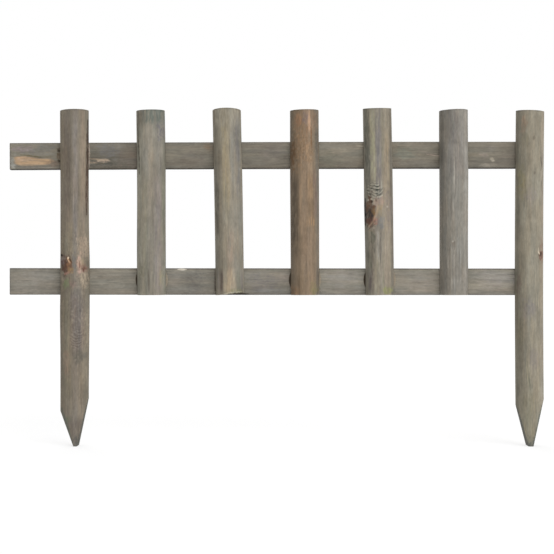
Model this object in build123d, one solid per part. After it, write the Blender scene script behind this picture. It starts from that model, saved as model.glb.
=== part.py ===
from build123d import *

import os
from math import cos, radians, sin, tan
from typing import NamedTuple, Optional

# A low picket edging panel for a garden bed, in millimetres.
# Half-round uprights stand on the front of two flat rails, and the two end uprights are pointed stakes.
# +X runs along the panel, +Z is up, and the half-round fronts of the uprights face -Y.
# The origin is the middle of the left stake's sawn tip.

# Uprights: round poles split down the middle
POLE_DIAMETER = 60.0
SAW_KERF = 3.0
UPRIGHT_ARRIS = 1.5
STAKE_LENGTH = 700.0
PICKET_LENGTH = 386.0
UPRIGHT_PITCH = 158.5

# Rails: flat slats behind the uprights
RAIL_HEIGHT = 56.0
RAIL_THICKNESS = 18.0
RAIL_ARRIS = 1.5
TOP_REVEAL = 66.0       # upright left standing above the upper rail
RAIL_OVERHANG = 136.5   # rail past the left stake's centre line, to lap behind the next panel's stake
RAIL_LAP = 13.5         # rail past the right stake's centre line, hidden behind the stake
UPPER_RAIL_RISE = 0.15  # upper rail out of level, in degrees, with its right end up

# Scoops: shallow round hollows in the lower rail's front, a little wider than the upright that covers each
SCOOP_DIAMETER = 68.0
SCOOP_DEPTH = 5.0
SCOOP_LIFT = 4.0        # middle of a scoop above the middle of the rail


class PointCut(NamedTuple):
    """One sawn side of a stake's point: its slope from upright and its turn to the front, in degrees."""

    slope: float
    turn: float


class Point(NamedTuple):
    """A stake's point: the flat tip's width, its place to the right of the centre line, and its two sides."""

    tip_width: float
    tip_shift: float
    left: PointCut
    right: PointCut


class Upright(NamedTuple):
    """One upright and how far it strays from an even panel, as sawn and nailed wood does.

    shift is along the rails and extra is added at the top, in millimetres.
    lean tips the top to the right, tilt raises the top cut to the right, rake raises the top cut to the front
    and foot raises the bottom cut to the right, in degrees.
    scooped is true where the lower rail is hollowed behind the upright.
    """

    name: str
    shift: float = 0.0
    extra: float = 0.0
    lean: float = 0.0
    tilt: float = 0.0
    rake: float = 0.0
    foot: float = 0.0
    point: Optional[Point] = None
    scooped: bool = False


LEFT_POINT = Point(13.5, 2.5, left=PointCut(19.8, 12.0), right=PointCut(11.9, 2.0))
RIGHT_POINT = Point(16.7, -0.3, left=PointCut(14.0, 2.0), right=PointCut(12.8, 12.0))

UPRIGHTS = (
    Upright("left_stake", extra=0.3, tilt=1.1, rake=1.5, point=LEFT_POINT),
    Upright("picket_1", shift=2.0, extra=-0.2, lean=-0.4, tilt=0.7, rake=-1.0, scooped=True),
    Upright("picket_2", shift=5.5, extra=2.0, lean=-1.0, tilt=-0.7, rake=5.0, foot=3.0),
    Upright("picket_3", shift=6.5, extra=0.3, lean=-0.25, tilt=1.1, rake=-1.0, scooped=True),
    Upright("picket_4", shift=3.0, extra=3.6, lean=-0.9, rake=-4.0, scooped=True),
    Upright("picket_5", shift=2.0, extra=0.5, lean=-0.15, tilt=2.1),
    Upright("right_stake", shift=3.0, extra=-1.3, tilt=-2.1, rake=-1.0, point=RIGHT_POINT),
)

# Sizes that follow from the ones above
pole_radius = POLE_DIAMETER / 2
upright_thickness = pole_radius - SAW_KERF / 2
back_y = upright_thickness / 2
pole_centre_y = back_y + SAW_KERF / 2
lower_rail_z = STAKE_LENGTH - PICKET_LENGTH
upper_rail_z = STAKE_LENGTH - TOP_REVEAL - RAIL_HEIGHT
mid_rails_z = (lower_rail_z + upper_rail_z + RAIL_HEIGHT) / 2
left_axis_x = -LEFT_POINT.tip_shift
right_axis_x = left_axis_x + UPRIGHT_PITCH * (len(UPRIGHTS) - 1)
rail_start_x = left_axis_x - RAIL_OVERHANG
rail_length = right_axis_x + RAIL_LAP - rail_start_x
scoop_z = lower_rail_z + RAIL_HEIGHT / 2 + SCOOP_LIFT
scoop_ball_radius = ((SCOOP_DIAMETER / 2) ** 2 + SCOOP_DEPTH ** 2) / (2 * SCOOP_DEPTH)


def half_round_section():
    """Front half of the pole's circle, with its flat back at back_y and the two sawn corners eased."""
    pole = Pos(0, pole_centre_y) * Circle(pole_radius)
    front_half = Pos(0, back_y - pole_radius) * Rectangle(POLE_DIAMETER, POLE_DIAMETER)
    section = pole & front_half
    return fillet(section.vertices(), UPRIGHT_ARRIS)


def saw(piece, through, facing):
    """The piece without what lies beyond a plane through a point, on the side that the plane faces."""
    return piece.split(Plane(origin=through, z_dir=facing), keep=Keep.BOTTOM)


def crosscut(piece, height, tilt, rake, up):
    """Saws off an end at a height on the centre line, out of square by the tilt and the rake in degrees.

    up is 1 for a top end and -1 for a bottom end.
    """
    facing = (-up * tan(radians(tilt)), up * tan(radians(rake)), up)
    return saw(piece, (0, 0, height), facing)


def cut_point_side(piece, point, side):
    """Saws one side of a stake's point, up and outwards from the flat tip's corner.

    side is -1 on the left and 1 on the right.
    """
    cut = point.right if side > 0 else point.left
    corner_x = point.tip_shift + side * point.tip_width / 2
    slope = radians(cut.slope)
    turn = radians(cut.turn)
    facing = (side * cos(slope) * cos(turn), -cos(slope) * sin(turn), -sin(slope) * cos(turn))
    return saw(piece, (corner_x, back_y, 0), facing)


def make_upright(upright, axis_x):
    """A half-round upright at its place on the rails, with its sawn ends and, on a stake, its point."""
    foot_z = 0 if upright.point else lower_rail_z
    top_z = STAKE_LENGTH + upright.extra
    blank = Pos(0, 0, foot_z - pole_radius) * extrude(half_round_section(), top_z - foot_z + POLE_DIAMETER)
    piece = crosscut(blank, top_z, upright.tilt, upright.rake, up=1)
    foot_rise = pole_radius * tan(radians(abs(upright.foot)))
    piece = crosscut(piece, foot_z + foot_rise, upright.foot, 0, up=-1)
    if upright.point:
        for side in (-1, 1):
            piece = cut_point_side(piece, upright.point, side)
    leaned = Pos(0, 0, mid_rails_z) * Rot(0, upright.lean, 0) * Pos(0, 0, -mid_rails_z) * piece
    return Pos(axis_x, 0, 0) * leaned


def make_rail(bottom_z, rise=0.0):
    """A flat rail with eased long edges, its front face against the flat backs of the uprights.

    rise lifts its right end about its middle, in degrees.
    """
    section = RectangleRounded(RAIL_THICKNESS, RAIL_HEIGHT, RAIL_ARRIS)
    rail = Rot(0, -rise, 0) * extrude(Plane.YZ * section, rail_length / 2, both=True)
    middle_x = rail_start_x + rail_length / 2
    return Pos(middle_x, back_y + RAIL_THICKNESS / 2, bottom_z + RAIL_HEIGHT / 2) * rail


def scoop(rail, upright, axis_x):
    """The rail with its front hollowed by a ball where an upright crosses it."""
    scoop_x = axis_x + (scoop_z - mid_rails_z) * tan(radians(upright.lean))
    return rail - Pos(scoop_x, back_y + SCOOP_DEPTH - scoop_ball_radius, scoop_z) * Sphere(scoop_ball_radius)


def make_panel():
    """Every piece of the panel by its name."""
    pieces = {"upper_rail": make_rail(upper_rail_z, UPPER_RAIL_RISE), "lower_rail": make_rail(lower_rail_z)}
    for place, upright in enumerate(UPRIGHTS):
        axis_x = left_axis_x + place * UPRIGHT_PITCH + upright.shift
        pieces[upright.name] = make_upright(upright, axis_x)
        if upright.scooped:
            pieces["lower_rail"] = scoop(pieces["lower_rail"], upright, axis_x)
    return pieces


os.makedirs("parts", exist_ok=True)
for name, piece in make_panel().items():
    export_step(piece, f"parts/{name}.step")
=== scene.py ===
import math

import bpy
import numpy as np
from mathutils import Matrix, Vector


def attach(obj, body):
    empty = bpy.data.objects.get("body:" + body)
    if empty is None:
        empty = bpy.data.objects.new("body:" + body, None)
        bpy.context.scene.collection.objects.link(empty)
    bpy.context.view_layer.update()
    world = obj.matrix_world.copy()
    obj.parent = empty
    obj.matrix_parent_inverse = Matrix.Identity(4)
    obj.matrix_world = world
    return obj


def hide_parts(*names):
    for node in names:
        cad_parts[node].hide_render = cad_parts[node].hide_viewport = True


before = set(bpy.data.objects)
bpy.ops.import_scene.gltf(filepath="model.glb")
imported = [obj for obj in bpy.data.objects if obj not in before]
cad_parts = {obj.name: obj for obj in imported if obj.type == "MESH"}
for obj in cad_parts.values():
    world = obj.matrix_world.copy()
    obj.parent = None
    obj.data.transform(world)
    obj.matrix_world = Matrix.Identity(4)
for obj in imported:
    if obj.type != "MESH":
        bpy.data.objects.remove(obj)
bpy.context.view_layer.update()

# Weathered half-round picket edging. Sizes are in millimetres until a mesh is made, which is in metres.
MM = 0.001

# The solids' sizes, and the upper rail's rise to the right in degrees
POLE_RADIUS = 30.0
BACK_Y = 14.25
POLE_CENTRE_Y = 15.75
UPRIGHT_ARRIS = 1.5
STAKE_LENGTH = 700.0
PITCH = 158.5
LEFT_AXIS_X = -2.5
RAIL_HEIGHT = 56.0
RAIL_THICKNESS = 18.0
RAIL_ARRIS = 1.5
RAIL_OVERHANG = 136.5
RAIL_START_X = LEFT_AXIS_X - RAIL_OVERHANG
RAIL_LENGTH = 1101.0
UPPER_RAIL_Z = 578.0
LOWER_RAIL_Z = 314.0
MID_RAILS_Z = (LOWER_RAIL_Z + UPPER_RAIL_Z + RAIL_HEIGHT) / 2
UPPER_RAIL_RISE = 0.15
SCOOP_RADIUS = 34.0
SCOOP_DEPTH = 5.0
SCOOP_LIFT = 4.0

# The camera stands level in front of the panel
CAMERA_X = 421.5
CAMERA_Z = 351.7
CAMERA_DISTANCE = 2725.0
CAMERA_LENS = 84.5
CAMERA_SENSOR = 36.0

# An edge that turns by more than this angle, in degrees, is drawn sharp
SHARP_ANGLE = 38.0
# Round fronts, end rims and nail heads are sunk this far into the solid
SINK = 0.05

# How far a cut end and a point's sawn side hide the colour under them
END_COVER = 0.85
CUT_COVER = 0.8
# How far rings follow the fibres round a knot, and what sets a back's random marks apart from its front's
RING_FLOW = 0.6
BACK_SEED = 300
# Width of a growth ring
UPRIGHT_RING = 2.9
RAIL_RING = 3.0


def srgb(r, g, b):
    """A display colour, 0 to 255, as linear light."""
    c = np.array([r, g, b], float) / 255
    return np.where(c <= 0.04045, c / 12.92, ((c + 0.055) / 1.055) ** 2.4)


def smooth(low, high, x):
    """Rises from 0 at low to 1 at high with soft ends."""
    t = np.clip((x - low) / (high - low), 0, 1)
    return t * t * (3 - 2 * t)


def lattice(ix, iy, seed):
    """A repeatable random number from 0 to 1 at each whole-number point."""
    h = (ix.astype(np.int64) * 374761393 + iy.astype(np.int64) * 668265263 + seed * 2147483647) & 0xFFFFFFFF
    h = ((h ^ (h >> 13)) * 1274126177) & 0xFFFFFFFF
    return ((h ^ (h >> 16)) & 0xFFFFFF) / float(0xFFFFFF)


def noise(x, y, seed):
    """Smooth value noise from 0 to 1."""
    x, y = np.broadcast_arrays(np.asarray(x, float), np.asarray(y, float))
    x0, y0 = np.floor(x), np.floor(y)
    fx, fy = x - x0, y - y0
    fx, fy = fx * fx * (3 - 2 * fx), fy * fy * (3 - 2 * fy)
    a, b = lattice(x0, y0, seed), lattice(x0 + 1, y0, seed)
    c, d = lattice(x0, y0 + 1, seed), lattice(x0 + 1, y0 + 1, seed)
    return (a * (1 - fx) + b * fx) * (1 - fy) + (c * (1 - fx) + d * fx) * fy


def fbm(x, y, seed):
    """Noise from 0 to 1 with two finer layers added."""
    total, weight, size = 0.0, 0.0, 1.0
    for k in range(3):
        total = total + size * noise(x * 2 ** k, y * 2 ** k, seed + 17 * k)
        weight += size
        size *= 0.5
    return total / weight


ATTRIBUTE_KINDS = {1: ("FLOAT", "value"), 3: ("FLOAT_VECTOR", "vector"), 4: ("FLOAT_COLOR", "color")}


def make_object(name, verts, faces, attributes, material):
    """A smooth mesh object with its named point attributes."""
    mesh = bpy.data.meshes.new(name)
    mesh.from_pydata((np.asarray(verts) * MM).tolist(), [], faces)
    mesh.update()
    for key, values in attributes.items():
        values = np.asarray(values, np.float32).reshape(len(verts), -1)
        kind, field = ATTRIBUTE_KINDS[values.shape[1]]
        mesh.attributes.new(key, kind, "POINT").data.foreach_set(field, values.ravel())
    for polygon in mesh.polygons:
        polygon.use_smooth = True
    mesh.set_sharp_from_angle(angle=math.radians(SHARP_ANGLE))
    mesh.materials.append(material)
    obj = bpy.data.objects.new(name, mesh)
    bpy.context.scene.collection.objects.link(obj)
    return obj


class Nodes:
    """Short names for building a node tree."""

    def __init__(self, tree):
        self.tree = tree
        tree.nodes.clear()

    def add(self, kind, inputs=(), **settings):
        node = self.tree.nodes.new(kind)
        for key, value in settings.items():
            setattr(node, key, value)
        for key, value in dict(inputs).items():
            self.feed(node.inputs[key], value)
        return node

    def feed(self, socket, value):
        if isinstance(value, bpy.types.NodeSocket):
            self.tree.links.new(value, socket)
        else:
            socket.default_value = value

    def math(self, operation, a, b=0.0):
        return self.add("ShaderNodeMath", {0: a, 1: b}, operation=operation).outputs[0]

    def plus(self, a, b):
        return self.math("ADD", a, b)

    def minus(self, a, b):
        return self.math("SUBTRACT", a, b)

    def times(self, a, b):
        return self.math("MULTIPLY", a, b)

    def scaled(self, vector, scale):
        return self.add("ShaderNodeVectorMath", {0: vector, 1: scale}, operation="MULTIPLY").outputs[0]

    def noise(self, vector, scale, detail, roughness=0.55):
        node = self.add("ShaderNodeTexNoise", {"Vector": self.scaled(vector, scale), "Scale": 1.0,
                                               "Detail": detail, "Roughness": roughness})
        return node.outputs[0]

    def ramp(self, value, low, high, to_low=0.0, to_high=1.0):
        inputs = {"Value": value, "From Min": low, "From Max": high, "To Min": to_low, "To Max": to_high}
        return self.add("ShaderNodeMapRange", inputs, interpolation_type="SMOOTHSTEP").outputs[0]

    def mix(self, fac, a, b, blend="MIX"):
        node = self.add("ShaderNodeMix", data_type="RGBA", blend_type=blend)
        self.feed(node.inputs[0], fac)
        self.feed(node.inputs[6], a)
        self.feed(node.inputs[7], b)
        return node.outputs[2]

    def attribute(self, name, output="Fac"):
        return self.add("ShaderNodeAttribute", attribute_name=name).outputs[output]

    def seen(self):
        """1 on rays from the camera, a mirror or glass, and 0 on the rays that light other things."""
        path = self.add("ShaderNodeLightPath").outputs
        mirrored = self.math("MAXIMUM", path["Is Glossy Ray"], path["Is Transmission Ray"])
        return self.math("MAXIMUM", path["Is Camera Ray"], mirrored)


def wood_material(name, fibre_gain, fissure_gain, ring_gain, warm_gain):
    """Weathered softwood: fibres, growth rings, checks and stains along the grain attribute's third axis."""
    material = bpy.data.materials.new(name)
    material.use_nodes = True
    n = Nodes(material.node_tree)
    grain = n.attribute("grain", "Vector")
    tint = n.attribute("tint", "Color")
    ring = n.attribute("ring")
    end = n.attribute("endgrain")
    dirt_and_shade = n.attribute("dirt_and_shade")
    sawn = n.attribute("sawn")

    fibre = n.noise(grain, (620, 620, 24), 4.0, 0.6)
    fine = n.noise(grain, (1900, 1900, 70), 3.0, 0.6)
    streak = n.noise(grain, (190, 190, 8), 3.0, 0.5)
    mottle = n.noise(grain, (70, 70, 24), 3.0, 0.6)
    fleck = n.noise(grain, (460, 460, 150), 3.0, 0.6)

    # Growth rings: a darker line of late wood at each ring
    wobble = n.times(n.minus(mottle, 0.5), 0.5)
    wave = n.math("SINE", n.times(n.plus(ring, wobble), 2 * math.pi))
    late = n.ramp(wave, 0.35, 1.0)

    # Drying checks: thin broken lines along the grain
    check = n.noise(grain, (330, 330, 2.2), 2.0, 0.4)
    line = n.ramp(n.math("ABSOLUTE", n.minus(check, 0.5)), 0.0, 0.016, 1.0, 0.0)
    fissure = n.times(line, n.ramp(n.noise(grain, (90, 90, 9), 2.0), 0.5, 0.68))

    # Saw marks: fine lines across the grain on sawn faces
    marks = n.times(sawn, n.minus(n.noise(grain, (14, 14, 420), 2.0, 0.5), 0.5))

    tone = n.times(n.minus(fibre, 0.5), fibre_gain)
    for layer, share in ((fine, 0.6), (streak, 0.6), (fleck, 0.8)):
        tone = n.plus(tone, n.times(n.minus(layer, 0.5), fibre_gain * share))
    tone = n.minus(tone, n.times(late, ring_gain))
    tone = n.minus(tone, n.times(sawn, n.times(late, 0.16)))
    tone = n.plus(tone, n.times(marks, 0.30))
    tone = n.minus(tone, n.times(fissure, fissure_gain))
    tone = n.minus(tone, n.times(end, n.times(late, 0.38)))
    # Darker where there is dirt, and where painted shade lies along the rails' undersides
    tone = n.minus(tone, n.times(dirt_and_shade, n.ramp(mottle, 0.25, 0.6, 0.25, 0.5)))
    tone = n.plus(tone, 1.05)
    grey = n.add("ShaderNodeCombineColor", {0: tone, 1: tone, 2: tone}).outputs[0]
    colour = n.mix(1.0, tint, grey, "MULTIPLY")
    # Warmer fibres show where the grey skin is thin
    warm = n.mix(1.0, colour, (1.07, 0.99, 0.90, 1), "MULTIPLY")
    colour = n.mix(n.ramp(fibre, 0.45, 0.75, 0.0, warm_gain), colour, warm)

    height = n.plus(n.times(fibre, 0.6), n.times(fine, 0.35))
    height = n.plus(height, n.times(late, 0.25))
    height = n.minus(height, fissure)
    height = n.plus(height, n.times(marks, 0.9))
    bump = n.add("ShaderNodeBump", {"Height": height, "Strength": 0.55, "Distance": 0.0011}).outputs[0]
    roughness = n.ramp(fibre, 0.3, 0.7, 0.93, 0.78)
    shader = n.add("ShaderNodeBsdfPrincipled", {"Base Color": colour, "Roughness": roughness, "Normal": bump,
                                                "Specular IOR Level": 0.22})
    n.add("ShaderNodeOutputMaterial", {"Surface": shader.outputs[0]})
    return material


def nail_material():
    """Zinc-coated steel, dulled and rusting in patches."""
    material = bpy.data.materials.new("nail_steel")
    material.use_nodes = True
    n = Nodes(material.node_tree)
    place = n.add("ShaderNodeTexCoord").outputs["Object"]
    blotch = n.noise(place, (900, 900, 900), 4.0, 0.65)
    rust = n.ramp(blotch, 0.45, 0.62)
    colour = n.mix(rust, (0.22, 0.22, 0.21, 1), (0.10, 0.043, 0.018, 1))
    bump = n.add("ShaderNodeBump", {"Height": blotch, "Strength": 0.5, "Distance": 0.0004}).outputs[0]
    metal = n.ramp(rust, 0.0, 1.0, 0.85, 0.05)
    shader = n.add("ShaderNodeBsdfPrincipled", {"Base Color": colour, "Metallic": metal, "Normal": bump,
                                                "Roughness": n.ramp(rust, 0.0, 1.0, 0.45, 0.85)})
    n.add("ShaderNodeOutputMaterial", {"Surface": shader.outputs[0]})
    return material


UPRIGHT_WOOD = wood_material("weathered_upright", fibre_gain=0.42, fissure_gain=0.45, ring_gain=0.09,
                             warm_gain=0.55)
RAIL_WOOD = wood_material("weathered_rail", fibre_gain=0.32, fissure_gain=0.25, ring_gain=0.04,
                          warm_gain=0.3)
NAIL_STEEL = nail_material()


# Colours, as they look from 0 to 255, that more than one piece has
CRACK_COLOUR = (72, 64, 55)
IRON_STAIN = (84, 80, 75)
SCOOP_WOOD = (168, 157, 139)
# Painted shade for the left side of a rail's scoop, in the upright's shadow
SCOOP_SHADE = (66, 57, 46)
BACK_KNOT_HALO = (138, 116, 90)
BACK_KNOT = (104, 82, 63)
BACK_KNOT_HEART = (58, 45, 36)
BACK_EDGE = (104, 99, 90)
BACK_STAINS = ((118, 110, 97), (168, 152, 126), (128, 124, 116), (150, 128, 102))

# How far apart stains and knots are along a back
STAIN_SPACING = 70
KNOT_SPACING = 240


class Surface:
    """The points of a piece and how they are coloured and shaped.

    across is measured over the face that is dressed, along runs with the grain, and front is 1 on that face.
    tint is the colour, flow how far fibres are pushed sideways, and swell how far the face stands out.
    """

    def __init__(self, across, along, front, seed):
        self.across, self.along, self.front, self.seed = across, along, front, seed
        self.tint = np.zeros((len(across), 3))
        self.flow = np.zeros(len(across))
        self.swell = np.zeros(len(across))

    def paint(self, mask, colour):
        mask = np.clip(mask, 0, 1)[:, None]
        self.tint = self.tint * (1 - mask) + srgb(*colour) * mask

    def shade(self, mask, factor):
        self.tint = self.tint * (1 + (factor - 1) * np.clip(mask, 0, 1))[:, None]

    def cover(self, colour):
        self.paint(np.ones(len(self.across)), colour)

    def uneven(self, width, length, seed):
        """Blotchy noise from 0 to 1, in cells of a width across and a length along the grain."""
        return fbm(self.across / width, self.along / length, self.seed * 29 + seed)

    def flecked(self, amount, width, length, seed):
        """A mask that breaks a stain into short flecks, by an amount from 0 to 1."""
        return 1 - amount + amount * smooth(0.32, 0.6, self.uneven(width, length, seed)) * 1.5

    def wander(self, size, length, seed):
        """How far a stripe's edge wanders sideways along the grain."""
        return size * (2 * noise(self.along / length, 0.5, self.seed * 31 + seed) - 1)

    def stretch(self, low, high, fade):
        """1 between two places along the grain, fading at both."""
        starts, stops = (smooth(end - fade, end + fade, self.along) for end in (low, high))
        return starts * (1 - stops)

    def tone(self, low, high, factor):
        """A stretch of the whole face that is lighter or darker."""
        self.shade(self.stretch(low, high, 20) * self.front, factor)

    def band(self, at, width, colour, strength):
        """A soft band along the whole face."""
        offset = (self.across - at + self.wander(1.5, 70, int(at) + 70)) / (width / 2)
        self.paint(np.exp(-offset ** 2) * strength * self.front, colour)

    def stripe(self, at, width, low, high, colour, strength=1.0, soft=0.6, seed=0, wander=1.5):
        """A stain along the grain, tapering at both ends and broken into short flecks."""
        offset = np.abs(self.across - at + self.wander(wander, 40, seed))
        mask = 1 - smooth(width * 0.5 * (1 - soft), width * 0.5 * (1 + soft), offset)
        mask = mask * self.stretch(low, high, 0.15 * (high - low) + 4)
        self.paint(mask * self.flecked(0.6, 2.6, 15, seed) * strength * self.front, colour)

    def patch(self, at, z, width, length, colour, strength=1.0, soft=0.5, seed=0, flecks=0.5):
        """An uneven stain with a ragged edge, broken into flecks."""
        du = self.across - at + width * 0.8 * (self.uneven(4, 6, seed) - 0.5)
        dz = self.along - z + length * 0.8 * (self.uneven(4, 6, seed + 50) - 0.5)
        r = np.hypot(du / (width / 2), dz / (length / 2))
        mask = (1 - smooth(1 - soft, 1 + soft, r)) * self.flecked(flecks, 1.9, 3.6, seed + 90)
        self.paint(mask * strength * self.front, colour)

    def dot(self, at, z, size, colour, strength=0.9):
        """A small spot."""
        r = np.hypot(self.across - at, self.along - z) / (size / 2)
        self.paint((1 - smooth(0.6, 1.3, r)) * strength * self.front, colour)

    def seam(self, places, width, colour, strength=0.9, seed=0):
        """A ragged line through a few places, such as a split or the bare lip beside a knot."""
        near = np.full(len(self.across), np.inf)
        share = np.zeros(len(self.across))
        for k, ((u0, z0), (u1, z1)) in enumerate(zip(places, places[1:])):
            du, dz = u1 - u0, z1 - z0
            t = np.clip(((self.across - u0) * du + (self.along - z0) * dz) / (du * du + dz * dz), 0, 1)
            gap = np.hypot(self.across - u0 - t * du, self.along - z0 - t * dz)
            share = np.where(gap < near, (k + t) / (len(places) - 1), share)
            near = np.minimum(near, gap)
        thick = width * (0.45 + 0.55 * np.sin(math.pi * share)) * (0.5 + self.uneven(2.5, 9, seed))
        mask = (1 - smooth(0.25, 0.8, near / thick)) * self.flecked(0.4, 1.8, 5, seed + 20)
        self.paint(mask * strength * self.front, colour)

    def bare(self, outline, colour, strength=0.9, seed=0):
        """Bare wood between two edges, given as (along, lower, upper) from one end to the other."""
        ends, low, high = np.array(outline).T
        ragged = 2.5 * (self.uneven(3, 9, seed) - 0.5)
        inside = smooth(-2.2, 2.2, np.interp(self.along, ends, high) - self.across + ragged)
        inside *= smooth(-2.2, 2.2, self.across - np.interp(self.along, ends, low) + ragged)
        inside *= smooth(ends[0] - 3, ends[0] + 5, self.along)
        inside *= 1 - smooth(ends[-1] - 6, ends[-1] + 4, self.along)
        self.paint(inside * self.flecked(0.3, 2.2, 12, seed + 40) * strength * self.front, colour)

    def pit(self, at, z, width, length, depth):
        """A sunk place in the face."""
        r = np.hypot((self.across - at) / (width / 2), (self.along - z) / (length / 2))
        self.swell -= depth * np.exp(-r ** 2) * self.front

    def knot(self, at, z, width, length, colour, strength=1.0, seed=0):
        """A knot: fibres part around it, and it stands a little proud with a sunk heart."""
        du, dz = self.across - at, self.along - z
        r = np.hypot(du / (width / 2), dz / (length / 2))
        near = np.exp(-(dz / (length * 0.95)) ** 2) * np.exp(-(du / (width * 1.1)) ** 2) * self.front
        self.flow += -np.sign(du) * np.minimum(np.abs(du), width * 0.45) * near
        self.patch(at, z, width, length, colour, strength, 0.3, seed, 0.3)
        self.swell += (0.5 * np.exp(-(r / 1.3) ** 2) - 0.9 * np.exp(-(r / 0.55) ** 2)) * strength * self.front

    def ripples(self, at, z, width, length, pitch, light, dark, strength):
        """Fibres buckled into short cross ridges above a branch."""
        du, dz = self.across - at, self.along - z
        reach = 1 - smooth(0.6, 1.05, np.hypot(du / (width / 2), dz / (length / 2)))
        wave = np.sin(2 * math.pi * (dz - 0.4 * np.hypot(du - 3, 6) + 9 * self.uneven(8, 12, 3)) / pitch)
        reach = reach * self.flecked(0.7, 4.5, 5, 4) * self.front
        self.paint(reach * smooth(-0.1, 0.8, wave) * strength, light)
        self.paint(reach * smooth(-0.1, 0.8, -wave) * strength, dark)
        self.swell += 0.3 * (wave - 1) * np.clip(reach, 0, 1)

    def specks(self, low, high, strength):
        """Small dark and pale flecks over a stretch of the face."""
        ends = self.stretch(low, high, 15) * self.front
        fleck = noise(self.across / 2.2, self.along / 3.6, self.seed * 23)
        self.shade(ends * smooth(0.7, 0.9, fleck) * strength, 0.65)
        self.shade(ends * smooth(0.3, 0.1, fleck) * strength, 1.4)

    def scoop(self, at, height):
        """A round scoop in a rail: bare paler wood, with near-black painted shade on its left, where the
        upright's shadow falls.
        """
        r = np.hypot(self.along - at, self.across - height)
        inside = 1 - smooth(SCOOP_RADIUS - 0.8, SCOOP_RADIUS + 0.2, r)
        left = smooth(-5.0, -15.0, self.along - at)
        self.paint(inside * self.front, SCOOP_WOOD)
        # Painted shade: near black on the scoop's left, where the upright's shadow falls
        self.paint(inside * left * self.front, SCOOP_SHADE)

    def sawn_back(self, colour, low, high):
        """A sawn back between two places along the grain: knots, stains and greyer edges."""
        random = np.random.default_rng(self.seed)
        half = np.abs(self.across[self.front > 0]).max()
        self.cover(colour)
        for place in np.arange(low, high, STAIN_SPACING):
            at, z = random.uniform(-half, half), place + random.uniform(0, STAIN_SPACING)
            stain = BACK_STAINS[random.integers(len(BACK_STAINS))]
            width, length = random.uniform(14, 30), random.uniform(50, 130)
            self.patch(at, z, width, length, stain, 0.6, 0.7, seed=int(place) + 900)
        for place in np.arange(low + 40, high, KNOT_SPACING):
            at, z = random.uniform(-0.7, 0.7) * half, place + random.uniform(0, 190)
            size = random.uniform(5, 15)
            self.patch(at, z, size * 2.2, size * 4, BACK_KNOT_HALO, 0.5, 0.8, seed=int(place) + 950)
            self.knot(at, z, size, size * 1.25, BACK_KNOT, 0.9, seed=int(place) + 970)
            self.dot(at, z, size * 0.4, BACK_KNOT_HEART, 0.8)
        for side in (-1, 1):
            self.band(side * half, 9, BACK_EDGE, 0.6)
        self.finish(variation=0.2, hue=0.05)

    def finish(self, variation, hue):
        """Adds the uneven weathering over the whole piece."""
        s = self.seed * 53
        broad = fbm(self.across / 9, self.along / 90, s + 1) - 0.5
        narrow = fbm(self.across / 2.6, self.along / 38, s + 2) - 0.5
        blotch = fbm(self.across / 12, self.along / 18, s + 3) - 0.5
        fleck = fbm(self.across / 1.9, self.along / 6, s + 5) - 0.5
        shade = 1 + variation * (1.2 * broad + 1.3 * narrow + 1.3 * blotch + 1.3 * fleck)
        drift = (fbm(self.across / 9, self.along / 60, s + 4) - 0.5) * 2 * hue
        self.tint = self.tint * shade[:, None] * np.stack([1 + drift, np.ones_like(drift), 1 - drift], 1)
        self.tint = np.clip(self.tint, 0.004, 0.9)


# Places round an upright's section: on the round front, the flat back and each eased corner
FRONT_POINTS = 88
BACK_POINTS = 30
CORNER_POINTS = 3


def section():
    """The half-round outline and which of its places are on the round front.

    It runs from the back's left corner over the front to the right, then along the flat back.
    """
    edge_y = BACK_Y - UPRIGHT_ARRIS
    start = math.asin((POLE_CENTRE_Y - edge_y) / POLE_RADIUS)
    angles = np.linspace(math.pi + start, 2 * math.pi - start, FRONT_POINTS)
    x = POLE_RADIUS * np.cos(angles)
    y = POLE_CENTRE_Y + POLE_RADIUS * np.sin(angles)
    flat = x[-1] - UPRIGHT_ARRIS
    turn = np.linspace(0, math.pi / 2, CORNER_POINTS + 2)[1:-1]
    right = np.stack([flat + UPRIGHT_ARRIS * np.cos(turn), edge_y + UPRIGHT_ARRIS * np.sin(turn)], 1)
    back = np.stack([np.linspace(flat, -flat, BACK_POINTS), np.full(BACK_POINTS, BACK_Y)], 1)
    left = np.stack([-right[::-1, 0], right[::-1, 1]], 1)
    outline = np.concatenate([np.stack([x, y], 1), right, back, left])
    return outline, (np.arange(len(outline)) < FRONT_POINTS).astype(float)


class Skin:
    """Closed loops of points from one end of a piece to the other, to be joined into a closed mesh.

    A loop's zone is 0 on the sides, -1 on the first end and 1 on the last, and sawn is 1 on a stake's cuts.
    """

    def __init__(self):
        self.loops, self.zones, self.sawn = [], [], []

    def loop(self, points, zone, sawn=0.0):
        self.loops.append(points)
        self.zones.append(np.full(len(points), zone))
        self.sawn.append(np.full(len(points), sawn))

    def close(self, first_hub, last_hub):
        """All the points, zones, sawn values and faces, with each end closed on its hub."""
        rows, columns = len(self.loops), len(self.loops[0])
        verts = np.concatenate(self.loops + [np.array([first_hub, last_hub], float)])
        zone = np.concatenate(self.zones + [np.array([-1, 1])])
        sawn = np.concatenate(self.sawn + [np.zeros(2)])
        pairs = [(j, (j + 1) % columns) for j in range(columns)]
        faces = []
        for here in range(0, (rows - 1) * columns, columns):
            after = here + columns
            faces += [(here + j, here + k, after + k, after + j) for j, k in pairs]
        last, hub = (rows - 1) * columns, rows * columns
        faces += [(k, j, hub) for j, k in pairs]
        faces += [(last + j, last + k, hub + 1) for j, k in pairs]
        return verts, zone, sawn, faces


def place_wood(name, verts, faces, tint, attributes, material):
    """Adds a dressed piece of wood in place of its solid."""
    tint = np.column_stack([tint, np.ones(len(verts))])
    obj = make_object(name + "_wood", verts, faces, {"tint": tint, **attributes}, material)
    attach(obj, "root")
    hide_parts(name)


CRACKS = 5


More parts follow.
